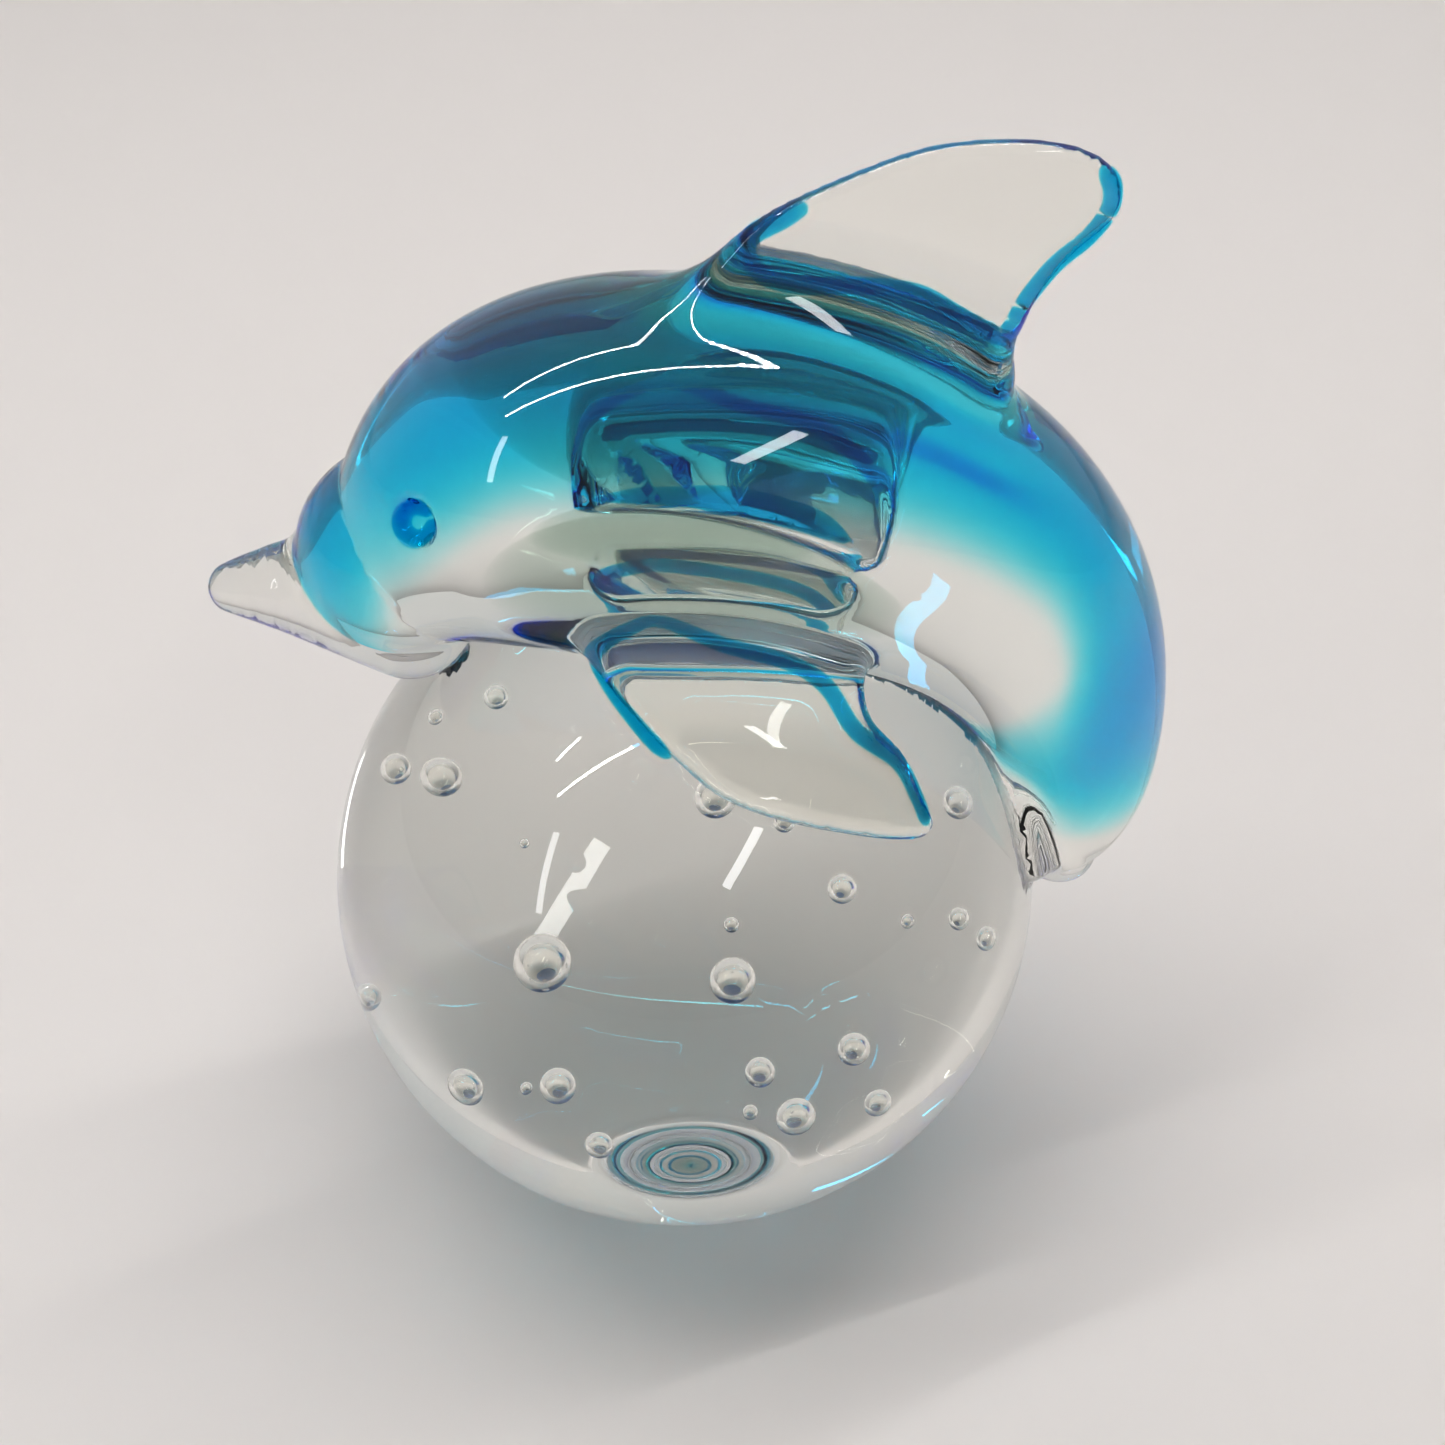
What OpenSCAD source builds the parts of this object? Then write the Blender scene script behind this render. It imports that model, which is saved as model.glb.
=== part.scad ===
// Crystal glass figurine: a leaping dolphin in cased blue glass, fused to the top and side of
// a clear ball that stands on a ground flat. +Z is up, millimetres, and the origin is the
// centre of the ground flat. The dolphin's arch lies in the XZ plane with its head towards -X.

/* [Ball] */
// Diameter of the clear ball
ball_d = 76; // [60:1:100]
// Diameter of the ground flat that the ball stands on
foot_d = 35; // [26:1:40]
// Size of the trapped air bubbles, as a share of their usual size
bubble_size = 1; // [0.5:0.1:1.4]

/* [Body] */
// Thickness of the dolphin at its middle
girth = 36; // [30:1:44]
// Clear casing glass over the blue layer, along the back
casing_wall = 1.2; // [0.6:0.1:2]
// Thickness of the blue layer along the back
overlay_t = 5; // [2:0.1:7]
// Depth of the flats pressed into its sides over the flippers
flat_depth = 2.2; // [1:0.1:3]
// Diameter of the pressed eye dimples
eye_d = 3.4; // [2:0.1:5]
// Depth of the eye dimples
eye_depth = 1; // [0.4:0.1:1.6]

/* [Beak] */
// Length of the beak in front of the head, to the middle of its round tip
beak_l = 6.8; // [4:0.2:12]
// Thickness of the beak at its root
beak_root_d = 12.8; // [10:0.2:15]
// Thickness of the beak at its tip
beak_tip_d = 5; // [3:0.2:8]

/* [Fin] */
// Height of the dorsal fin over the back
fin_h = 21; // [15:0.5:26]
// Thickness of the dorsal fin at its root
fin_root_t = 6.4; // [3:0.2:8]
// Thickness of the dorsal fin at its edge
fin_edge_t = 2; // [1.2:0.1:3]

/* [Flippers] */
// Thickness of a flipper at its middle, clear of its root
flipper_t = 3.2; // [2:0.1:4]
// Gap between a flipper and the ball
flipper_gap = 1.6; // [0.6:0.1:3]

/* [Flukes] */
// Thickness of the tail flukes
fluke_t = 3.6; // [2.4:0.1:5]

/* [Joints] */
// Clearance at each fused seam, 0 for full contact
seam_gap = 0; // [0:0.01:0.1]

/* [Hidden] */

ball_r = ball_d / 2;
foot_r = foot_d / 2;
ball_z = sqrt(ball_r * ball_r - foot_r * foot_r);   // centre of the ball over the ground flat
girth_usual = 36;                                   // the girth that the stations' radii are given for
fin_h_usual = 21;                                   // the fin height that its ribs are given for
round_fn = 28;                                      // facets round a swept piece
edge_fn = 12;                                       // facets round a thin edge
ball_fn = 96;                                       // facets round the ball

// Stations along the dolphin, head to tail: angle from straight up over the ball's centre,
// radius of the body, and how deep it sinks into the ball (negative stands clear)
stations = [
  [-31, 10.2, -3.3],
  [-22, 14.4, -0.8],
  [-12, 17.4, 1.8],
  [0, 18, 3],
  [13, 17.2, 2.6],
  [27, 15.6, 0.9],
  [39, 13.7, 0.5],
  [51, 11.4, 0.5],
  [66, 8.6, 0.7],
  [76, 6.4, 0.9],
  [84, 4.1, 0.9]
];
steps = 2;                                          // swept lengths between two stations

// Ribs of the dorsal fin, root to tip: angle and height over the back of the leading end,
// then of the trailing end
fin_ribs = [
  [-3, -4, 25, -4],
  [0, 1, 24.5, 1.5],
  [5, 7, 24, 5],
  [10.5, 12.5, 24, 9.5],
  [15, 17, 24.4, 13.5],
  [19.5, 20, 25.4, 16],
  [23.4, 20.6, 25.7, 18]
];

// Ribs of a flipper, root to tip: angle and lean of the leading end, of the trailing end,
// then height over the ball beyond the gap, and thickness as a share of flipper_t
flipper_ribs = [
  [-6, 10, 19, 8, 6, 1.9],
  [-9, 19, 21, 16.5, 4.4, 1.7],
  [-5, 26, 22, 21, 2.4, 1.3],
  [3, 32, 25, 23, 1.3, 1.1],
  [12, 36, 29, 24, 0.9, 1],
  [22, 37, 34, 25, 0.5, 0.9],
  [31, 36, 39, 26, 0.3, 0.8],
  [38, 33.5, 42.5, 27.5, 0.1, 0.6]
];

// Ribs of one tail fluke, from the tail outwards: angle of the upper end, angle of the lower
// end, lean of both, and thickness as a share of fluke_t
fluke_ribs = [
  [54, 84, 1, 1.9],
  [58, 82, 6, 1.6],
  [62, 80, 9.5, 1.2],
  [67, 78.5, 12.5, 0.9],
  [72, 77.5, 14.5, 0.6]
];

// Bubbles in the ball: centre as shares of the ball's radius, and diameter
bubbles = [
  [-0.28, -0.17, -0.08, 4.4],
  [0.09, -0.13, -0.16, 3.4],
  [0.33, -0.2, 0.15, 2.4],
  [0.34, -0.31, -0.19, 2.6],
  [0.14, -0.22, -0.31, 2.2],
  [0.23, -0.45, -0.26, 3.2],
  [0.38, -0.31, -0.33, 2.2],
  [-0.24, -0.22, -0.34, 2.6],
  [-0.45, -0.36, -0.26, 3.2],
  [-0.17, -0.4, -0.36, 2.2],
  [0.55, -0.09, -0.04, 1.8],
  [0.62, -0.12, -0.07, 2],
  [0.06, 0.04, 0.17, 3.2],
  [0.55, 0.08, 0.12, 2.6],
  [-0.36, 0.3, 0.17, 1.8],
  [-0.53, 0.26, 0.01, 2.2],
  [-0.43, 0.31, -0.07, 2.6],
  [-0.54, 0.06, -0.35, 1.8]
];

// A point over the ball: angle from straight up towards +X, lean towards -Y, distance
function over_ball(angle, lean, reach) =
  [0, 0, ball_z] + reach * [cos(lean) * sin(angle), -sin(lean), cos(lean) * cos(angle)];

// A smooth value between b and c, where a and d are their neighbours
function blend(a, b, c, d, t) =
  0.5 * (2 * b + (c - a) * t + (2 * a - 5 * b + 4 * c - d) * t * t
         + (3 * b - a - 3 * c + d) * t * t * t);

// The stations, with smooth ones added between them
last_station = len(stations) - 1;
spine = [
  for (i = [0:last_station - 1], s = [0:steps - 1])
    blend(stations[max(i - 1, 0)], stations[i], stations[i + 1],
          stations[min(i + 2, last_station)], s / steps),
  stations[last_station]
];

function body_r(s) = s[1] * girth / girth_usual;                 // radius of the body at a station
function body_reach(s) = ball_r + body_r(s) - s[2];              // its centre from the ball's centre
function back_at(angle) =                                        // the back's distance from the same
  let (reach = [for (s = spine) [s[0], body_reach(s) + body_r(s)]])
  lookup(angle, reach);

// A swept tube along the dolphin: inset from the body's surface, and moved towards the ball
module tube(inset, drop, first = 0, last = len(spine) - 1) {
  for (i = [first:last - 1])
    hull()
      for (s = [spine[i], spine[i + 1]])
        translate(over_ball(s[0], 0, body_reach(s) - drop * s[1] / stations[3][1]))
          sphere(r = body_r(s) - inset, $fn = round_fn);
}

// What the flats press away, on both sides of the body over the flippers
module pressed_flats(gap = 0) {
  middle = stations[3];
  tilt = 8.9;                                      // the flats face this much below level
  reach = body_r(middle) - flat_depth - body_reach(middle) * sin(tilt) + gap;
  for (side = [0, 1])
    mirror([0, side, 0])
      translate([0, 0, ball_z])
        rotate([0, tilt, -91.3])
          translate([reach, -30, 28])
            cube([20, 64, 52]);
}

module body_form(gap = 0) {
  difference() {
    tube(-gap, 0);
    pressed_flats(gap);
  }
}

// Where there is no blue: in the gather, which is nearer the ball, and in the last of the tail
module blue_free() {
  tube(casing_wall, overlay_t);
  tube(casing_wall - 0.5, 0, len(spine) - 3);
}

// The ball as a cutter, with its facets just outside the true surface
module ball_form(gap = 0) {
  translate([0, 0, ball_z])
    sphere(r = (ball_r + gap) / pow(cos(180 / ball_fn), 2), $fn = ball_fn);
}

// A rib of a leaf: round ends at p and q and a thicker middle
module rib(p, q, edge_r, mid_r) {
  hull() {
    translate(p) sphere(r = edge_r, $fn = edge_fn);
    translate(q) sphere(r = edge_r, $fn = edge_fn);
    translate((p + q) / 2) sphere(r = mid_r, $fn = edge_fn);
  }
}

module ball() {
  color([0.93, 0.95, 0.92, 0.35])
    difference() {
      translate([0, 0, ball_z]) sphere(r = ball_r, $fn = ball_fn);
      translate([0, 0, -ball_d]) cube(2 * ball_d, center = true);
      for (b = bubbles)
        translate([b[0], b[1], b[2]] * ball_r + [0, 0, ball_z])
          sphere(r = b[3] * bubble_size / 2, $fn = 20);
    }
}

// Eye dimples pressed into the skin on both sides of the head
module eye_dimples() {
  eye_angle = -23.5;                               // where they are along the dolphin
  eye_turn = 62;                                   // angle of an eye from the back, round the head
  eye_station = [for (k = [0:2]) lookup(eye_angle, [for (s = spine) [s[0], s[k]]])];
  out = body_r(eye_station) - eye_depth + eye_d / 2;
  for (side = [-1, 1])
    translate(over_ball(eye_angle, 0, body_reach(eye_station)))
      rotate([0, eye_angle, 0])
        translate([0, side * out * sin(eye_turn), out * cos(eye_turn)])
          sphere(d = eye_d, $fn = 16);
}

// The first clear gather, which the blue is laid on
module body_gather() {
  color([0.93, 0.95, 0.93, 0.35])
    difference() {
      intersection() {
        tube(casing_wall, 0);
        blue_free();
      }
      ball_form(seam_gap);
      pressed_flats();
      eye_dimples();
    }
}

// The blue layer: a crescent, thick along the back and thin at the sides
module blue_overlay() {
  color([0.02, 0.45, 0.72, 0.8])
    difference() {
      tube(casing_wall, 0);
      blue_free();
      pressed_flats();
      eye_dimples();
    }
}

// The clear skin over the blue and the gather, open where the ball is fused to the gather
module body_casing() {
  color([0.93, 0.95, 0.93, 0.35])
    difference() {
      body_form();
      tube(casing_wall, 0);
      ball_form(seam_gap);
      eye_dimples();
    }
}

// The beak: a rounded taper from inside the head to its tip
module beak() {
  head = stations[0];
  root = over_ball(head[0], 0, body_reach(head) - 0.6863 * body_r(head));
  tip_x = over_ball(head[0], 0, body_reach(head))[0] - body_r(head) - beak_l;
  color([0.93, 0.95, 0.93, 0.35])
    difference() {
      for (i = [0:7]) {
        hull()
          for (t = [i / 8, (i + 1) / 8])
            translate([root[0] + (tip_x - root[0]) * t, 0, root[2] + 1.5 * sin(90 * t)])
              sphere(d = beak_root_d + (beak_tip_d - beak_root_d) * t, $fn = round_fn);
      }
      body_form(seam_gap);
      ball_form(seam_gap);
    }
}

module fin_rib(r) {
  h = fin_h / fin_h_usual;
  share = max(r[1], 0) / fin_h_usual;              // 0 at the root, 1 at the top
  p = over_ball(r[0], 0, back_at(r[0]) + r[1] * h);
  q = over_ball(r[2], 0, back_at(r[2]) + r[3] * h);
  rib(p, q, fin_edge_t / 2, (fin_root_t + (fin_edge_t - fin_root_t) * share) / 2);
}

module dorsal_fin() {
  color([0.93, 0.95, 0.93, 0.35])
    difference() {
      for (i = [0:len(fin_ribs) - 2])
        hull() {
          fin_rib(fin_ribs[i]);
          fin_rib(fin_ribs[i + 1]);
        }
      body_form(seam_gap);
    }
}

module flipper_rib(r) {
  mid_r = r[5] * flipper_t / 2;
  reach = ball_r + flipper_gap + r[4] + mid_r;
  bow = reach * (1 - cos(norm([r[2] - r[0], r[3] - r[1]]) / 2));   // the rib is a chord over the ball
  p = over_ball(r[0], r[1], reach + bow);
  q = over_ball(r[2], r[3], reach + bow);
  rib(p, q, mid_r * 0.55, mid_r);
}

module left_flipper() {
  color([0.93, 0.95, 0.93, 0.35])
    difference() {
      for (i = [0:len(flipper_ribs) - 2])
        hull() {
          flipper_rib(flipper_ribs[i]);
          flipper_rib(flipper_ribs[i + 1]);
        }
      body_form(seam_gap);
    }
}

module right_flipper() {
  mirror([0, 1, 0]) left_flipper();
}

module fluke_rib(r) {
  mid_r = r[3] * fluke_t / 2;
  p = over_ball(r[0], r[2], ball_r + mid_r);
  q = over_ball(r[1], r[2], ball_r + mid_r);
  rib(p, q, mid_r * 0.6, mid_r);
}

module tail_flukes() {
  color([0.6, 0.85, 0.92, 0.4])
    difference() {
      for (side = [0, 1])
        mirror([0, side, 0])
          for (i = [0:len(fluke_ribs) - 2])
            hull() {
              fluke_rib(fluke_ribs[i]);
              fluke_rib(fluke_ribs[i + 1]);
            }
      body_form(seam_gap);
      ball_form(seam_gap);
    }
}

ball();
body_gather();
blue_overlay();
body_casing();
beak();
dorsal_fin();
left_flipper();
right_flipper();
tail_flukes();
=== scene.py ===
import bpy
import math
import numpy as np
from mathutils import Matrix, Vector


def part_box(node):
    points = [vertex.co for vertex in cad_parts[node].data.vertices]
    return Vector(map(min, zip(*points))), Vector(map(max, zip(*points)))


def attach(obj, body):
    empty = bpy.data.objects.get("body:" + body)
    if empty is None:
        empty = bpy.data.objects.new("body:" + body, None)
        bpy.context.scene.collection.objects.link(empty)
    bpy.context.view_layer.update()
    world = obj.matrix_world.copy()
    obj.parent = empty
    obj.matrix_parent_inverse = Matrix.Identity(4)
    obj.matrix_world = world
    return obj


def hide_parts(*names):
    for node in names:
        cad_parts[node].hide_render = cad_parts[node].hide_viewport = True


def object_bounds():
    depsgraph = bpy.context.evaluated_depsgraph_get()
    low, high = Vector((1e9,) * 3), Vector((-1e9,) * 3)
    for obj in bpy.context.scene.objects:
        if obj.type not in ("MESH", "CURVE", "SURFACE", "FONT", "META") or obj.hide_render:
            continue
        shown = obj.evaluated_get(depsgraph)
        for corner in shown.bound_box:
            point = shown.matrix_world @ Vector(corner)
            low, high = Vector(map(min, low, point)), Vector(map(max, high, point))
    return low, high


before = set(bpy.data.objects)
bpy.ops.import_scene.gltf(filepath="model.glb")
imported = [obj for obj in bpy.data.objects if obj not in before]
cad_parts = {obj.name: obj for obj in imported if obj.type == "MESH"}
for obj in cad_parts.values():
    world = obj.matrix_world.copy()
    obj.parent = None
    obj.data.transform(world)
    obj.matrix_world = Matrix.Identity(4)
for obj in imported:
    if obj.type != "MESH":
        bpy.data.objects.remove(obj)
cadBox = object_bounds()
scene = bpy.context.scene
mm = 0.001  # shapes are worked out in millimetres and made in metres
cell = 0.7  # mm between samples of the glass

ballLow, ballHigh = (np.array(corner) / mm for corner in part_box("ball"))
ball = {
    "radius": (ballHigh[0] - ballLow[0]) / 2,
    "footRound": 0.5,  # softened edge of the ground flat
}
ball["centre"] = np.array([0.0, 0.0, ballHigh[2] - ball["radius"]])

view = {
    "pitch": 40.0,  # degrees down from level
    "lens": 49.5,  # mm on a 36 mm sensor
    "distance": 5.82,  # from the ball's centre, in ball radii
    "aimAcross": 0.0185,  # how far the ball's centre stands off the axis, as tangents
    "aimDown": 0.0758,
}


def addCamera():
    pitch = math.radians(view["pitch"])
    right = Vector((1, 0, 0))
    up = Vector((0, math.sin(pitch), math.cos(pitch)))
    forward = Vector((0, math.cos(pitch), -math.sin(pitch)))
    toBall = (forward - view["aimAcross"] * right - view["aimDown"] * up).normalized()
    place = Vector(ball["centre"] * mm) - toBall * view["distance"] * ball["radius"] * mm
    data = bpy.data.cameras.new("camera")
    data.sensor_width = 36
    data.lens = view["lens"]
    data.clip_start = 0.01
    camera = bpy.data.objects.new("camera", data)
    scene.collection.objects.link(camera)
    camera.matrix_world = Matrix.Translation(place) @ Matrix((right, up, -forward)).transposed().to_4x4()
    scene.camera = camera


addCamera()
print("camera placed")

body = {
    # head to tail: angle from straight up, radius, how deep it sinks into the ball
    "stations": [
        (-31, 10.2, -3.3), (-22, 14.4, -0.8), (-12, 17.4, 1.8), (0, 18, 3), (13, 17.2, 2.6), (27, 15.6, 0.9),
        (39, 13.7, 0.5), (51, 11.4, 0.5), (66, 8.6, 0.7), (76, 6.4, 0.9), (84, 4.1, 0.9),
    ],
    # flats pressed into both sides over the flippers: which way they face, and where
    "flatFaces": (-0.023, -0.988, -0.154),
    "flatReach": 7.67,
    "flatRound": 0.5,
}
eye = {"angle": -23.0, "turn": 62.0, "radius": 2.3, "depth": 1.9}
beak = {
    # root to tip: x and z from the ball's centre, radius
    "stations": [(-27, 35.5, 6.2), (-32, 38, 6.0), (-37, 39.2, 4.9), (-41, 39.3, 3.6), (-43.8, 39.2, 2.6)],
}
fin = {
    # outline in the arch's plane, x and z from the ball's centre
    "outline": [
        (-4, 66), (1, 72), (7, 78), (15, 82.2), (21.5, 84.6), (27, 85.2), (32.5, 84.9), (36.2, 83.4),
        (37.8, 81), (37.4, 78.2), (34.4, 75), (32, 71.3), (30.4, 67), (28, 62), (12, 62),
    ],
    "rootHalf": 3.2,
    "edgeHalf": 1.0,
    "thins": (66, 80),  # heights over the ball's centre between which it thins out
    "rippleSize": 0.06,  # jack marks left where it was drawn up from the back
    "rippleSpacing": 2.7,
    "rippleSlant": (0.35, 0.5),  # their slope along it and across it
    "rippleEnds": (71, 75),
}
flipper = {
    # outline over the ball: angle and lean, root round to tip
    "outline": [
        (-7, 8), (-10.8, 17.5), (-9, 22), (-2.3, 29.3), (3.9, 34.3), (9.9, 36.7), (18.3, 37.6), (28.7, 36.6),
        (37, 34.4), (41.8, 31.8), (42, 29.4), (38.2, 27.4), (32.7, 24.4), (26, 22.2), (22.8, 17), (21, 8),
    ],
    "middle": (18, 26),  # where its flat pattern is laid on the ball
    "gap": 1.6,
    "half": 1.5,
    "root": (12, 30),  # leans between which it thins and comes down from the body
    "rootHalf": 1.5,  # how much thicker its root is, on each face
    "rootLift": 4.0,
    "tip": (26, 44),  # angles between which its tip thins
    "tipHalf": 0.5,
}
fluke = {
    "outline": [
        (54, -3), (54, 3), (57, 6.5), (61, 9.8), (66, 12.8), (71, 14.8), (76, 15), (79, 12.5), (81, 9),
        (83, 5), (84, -3),
    ],
    "middle": (70, 6),
    "half": 1.9,
    "thins": (0, 15),  # leans between which it thins, from root to edge
    "rootShare": 1.5,  # of half
    "thinning": 0.9,
    "lift": 0.6,  # how far its middle stands off the ball, as a share of its half thickness
}
fillets = {"bodyBall": 1.2, "fin": 5.0, "flipper": 2.5, "beak": 2.6, "fluke": 3.0, "eye": 0.8}

stationTable = np.array(body["stations"], float)
headAngle = stationTable[0, 0]
tailAngle = stationTable[-1, 0]
radiusCurve = np.polynomial.Polynomial.fit(stationTable[:, 0], stationTable[:, 1], 7)
reachCurve = np.polynomial.Polynomial.fit(
    stationTable[:, 0], ball["radius"] + stationTable[:, 1] - stationTable[:, 2], 7
)


def smoothMin(a, b, k):
    h = np.clip(k - np.abs(a - b), 0, None) / k
    return np.minimum(a, b) - h * h * k / 4


def smoothMax(a, b, k):
    return -smoothMin(-a, -b, k)


def smoothStep(low, high, x):
    t = np.clip((x - low) / (high - low), 0, 1)
    return t * t * (3 - 2 * t)


def overBall(angle, lean, reach):
    a, b = np.radians(angle), np.radians(lean)
    return ball["centre"] + reach * np.array([np.cos(b) * np.sin(a), -np.sin(b), np.cos(b) * np.cos(a)])


def leanAndAngle(q):
    reach = np.linalg.norm(q, axis=-1)
    lean = np.degrees(np.arcsin(np.clip(-q[..., 1] / np.maximum(reach, 1), -1, 1)))
    return reach, lean, np.degrees(np.arctan2(q[..., 0], q[..., 2]))


def ballDistance(p):
    sphere = np.linalg.norm(p - ball["centre"], axis=-1) - ball["radius"]
    return smoothMax(sphere, -p[..., 2], ball["footRound"])


def tubeDistance(q):
    angle = np.degrees(np.arctan2(q[..., 0], q[..., 2]))
    along = np.clip(angle, headAngle, tailAngle)
    past = np.radians(angle - along) * reachCurve(along)  # rounds off both ends
    out = np.hypot(q[..., 0], q[..., 2]) - reachCurve(along)
    return np.sqrt(out ** 2 + q[..., 1] ** 2 + past ** 2) - radiusCurve(along)


def bodyDistance(p):
    q = p - ball["centre"]
    faces = body["flatFaces"]
    flat = q[..., 0] * faces[0] - np.abs(q[..., 1]) * faces[1] + q[..., 2] * faces[2] - body["flatReach"]
    return smoothMax(tubeDistance(q), flat, body["flatRound"])


def smoothCurve(points, steps, closed):
    # a Catmull-Rom curve through the points
    pts = np.array(points, float)
    count = len(pts)
    out = []
    for i in range(count if closed else count - 1):
        if closed:
            a, b, c, d = (pts[(i + k) % count] for k in (-1, 0, 1, 2))
        else:
            a, b, c, d = (pts[min(max(i + k, 0), count - 1)] for k in (-1, 0, 1, 2))
        for t in np.arange(steps) / steps:
            out.append(0.5 * (2 * b + (c - a) * t + (2 * a - 5 * b + 4 * c - d) * t ** 2
                              + (3 * b - a - 3 * c + d) * t ** 3))
    return np.array(out) if closed else np.array(out + [pts[-1]])


beakCurve = smoothCurve([(x, 0, z, r) for x, z, r in beak["stations"]], 4, False)


def beakDistance(p):
    q = p - ball["centre"]
    best = np.full(p.shape[:-1], 1e9)
    for a, b in zip(beakCurve[:-1], beakCurve[1:]):
        ab = b[:3] - a[:3]
        t = np.clip((q - a[:3]) @ ab / (ab @ ab), 0, 1)
        away = np.linalg.norm(q - a[:3] - t[..., None] * ab, axis=-1)
        best = np.minimum(best, away - (a[3] + (b[3] - a[3]) * t))
    return best


def outlineDistance(u, w, outline):
    # signed distance to a closed outline, negative inside
    shape = u.shape
    u, w = u.ravel(), w.ravel()
    best = np.full(u.shape, 1e18)
    inside = np.zeros(u.shape, bool)
    for a, b in zip(outline, np.roll(outline, -1, axis=0)):
        ab = b - a
        du, dw = u - a[0], w - a[1]
        t = np.clip((du * ab[0] + dw * ab[1]) / (ab @ ab), 0, 1)
        best = np.minimum(best, (du - t * ab[0]) ** 2 + (dw - t * ab[1]) ** 2)
        if a[1] != b[1]:
            inside ^= ((a[1] > w) != (b[1] > w)) & (du < ab[0] * dw / ab[1])
    return (np.sqrt(best) * np.where(inside, -1, 1)).reshape(shape)


def leafDistance(edge, off, half):
    # a leaf of glass with round edges: distance in its own plane, off its plane, half thickness
    return np.hypot(np.maximum(edge + half, 0), off) - half


finCurve = smoothCurve(fin["outline"], 6, True)


def finDistance(p):
    q = p - ball["centre"]
    edge = outlineDistance(q[..., 0], q[..., 2], finCurve)
    height = np.hypot(q[..., 0], q[..., 2])
    half = fin["edgeHalf"] + (fin["rootHalf"] - fin["edgeHalf"]) * (1 - smoothStep(*fin["thins"], height))
    along, across = fin["rippleSlant"]
    slanted = q[..., 2] + along * q[..., 0] + across * np.abs(q[..., 1])
    ripple = np.cos(2 * np.pi * slanted / fin["rippleSpacing"])
    rippled = fin["rippleSize"] * ripple * (1 - smoothStep(*fin["rippleEnds"], height))
    return leafDistance(edge, q[..., 1], half) + rippled


def flatPattern(middle):
    # axes of a flat pattern laid on the ball at one place
    normal = overBall(*middle, 1.0) - ball["centre"]
    across = np.array([math.cos(math.radians(middle[0])), 0, -math.sin(math.radians(middle[0]))])
    return normal, across, np.cross(normal, across)


def onPattern(q, axes):
    normal, across, along = axes
    depth = np.maximum(q @ normal, 1e-3)
    return ball["radius"] * (q @ across) / depth, ball["radius"] * (q @ along) / depth


def leafPattern(piece):
    axes = flatPattern(piece["middle"])
    points = [overBall(a, b, 1.0) - ball["centre"] for a, b in piece["outline"]]
    return axes, smoothCurve([onPattern(np.array(point), axes) for point in points], 6, True)


flipperAxes, flipperCurve = leafPattern(flipper)
flukeAxes, flukeCurve = leafPattern(fluke)


def flipperDistance(p, side):
    q = (p - ball["centre"]) * np.array([1, side, 1])
    edge = outlineDistance(*onPattern(q, flipperAxes), flipperCurve)
    reach, lean, angle = leanAndAngle(q)
    root = 1 - smoothStep(*flipper["root"], lean)
    tip = smoothStep(*flipper["tip"], angle)
    half = flipper["half"] + flipper["rootHalf"] * root - flipper["tipHalf"] * tip
    middle = ball["radius"] + flipper["gap"] + half + flipper["rootLift"] * root
    return leafDistance(edge * reach / ball["radius"], reach - middle, half)


def flukeDistance(p, side):
    q = (p - ball["centre"]) * np.array([1, side, 1])
    edge = outlineDistance(*onPattern(q, flukeAxes), flukeCurve)
    reach, lean = leanAndAngle(q)[:2]
    half = fluke["half"] * (fluke["rootShare"] - fluke["thinning"] * smoothStep(*fluke["thins"], lean))
    return leafDistance(edge * reach / ball["radius"], reach - ball["radius"] - fluke["lift"] * half, half)


def eyeDistance(p):
    out = radiusCurve(eye["angle"]) - eye["depth"] + eye["radius"]
    turn = math.radians(eye["turn"])
    centre = overBall(eye["angle"], 0, reachCurve(eye["angle"]) + out * math.cos(turn))
    across = np.abs(p[..., 1]) - out * math.sin(turn)
    return np.sqrt((p[..., 0] - centre[0]) ** 2 + across ** 2 + (p[..., 2] - centre[2]) ** 2) - eye["radius"]


pieces = ["ball", "body_casing", "beak", "dorsal_fin", "left_flipper", "right_flipper", "tail_flukes"]
shapes = {
    "ball": ballDistance,
    "body_casing": bodyDistance,
    "beak": beakDistance,
    "dorsal_fin": finDistance,
    "left_flipper": lambda p: flipperDistance(p, 1),
    "right_flipper": lambda p: flipperDistance(p, -1),
    "tail_flukes": lambda p: np.minimum(flukeDistance(p, 1), flukeDistance(p, -1)),
}
reaches = {name: [np.array(corner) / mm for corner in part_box(name)] for name in pieces}


def nearDistance(name, p, margin=7.0):
    # one piece's distance, worked out only near that piece
    if name in ("ball", "body_casing"):
        return shapes[name](p)
    low, high = reaches[name]
    away = np.linalg.norm(np.maximum(np.maximum(low - p, p - high), 0), axis=-1)
    out = away + 2.0
    near = away < margin
    out[near] = shapes[name](p[near])
    return out


def allDistances(p):
    return {name: nearDistance(name, p) for name in pieces}


def wholeDistance(p, d=None):
    # the fused figurine's outer surface
    d = d or allDistances(p)
    whole = smoothMin(d["body_casing"], d["dorsal_fin"], fillets["fin"])
    whole = smoothMin(whole, d["left_flipper"], fillets["flipper"])
    whole = smoothMin(whole, d["right_flipper"], fillets["flipper"])
    whole = smoothMin(whole, d["beak"], fillets["beak"])
    whole = smoothMin(whole, d["tail_flukes"], fillets["fluke"])
    whole = smoothMax(whole, -eyeDistance(p), fillets["eye"])
    return smoothMin(whole, d["ball"], fillets["bodyBall"])


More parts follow.
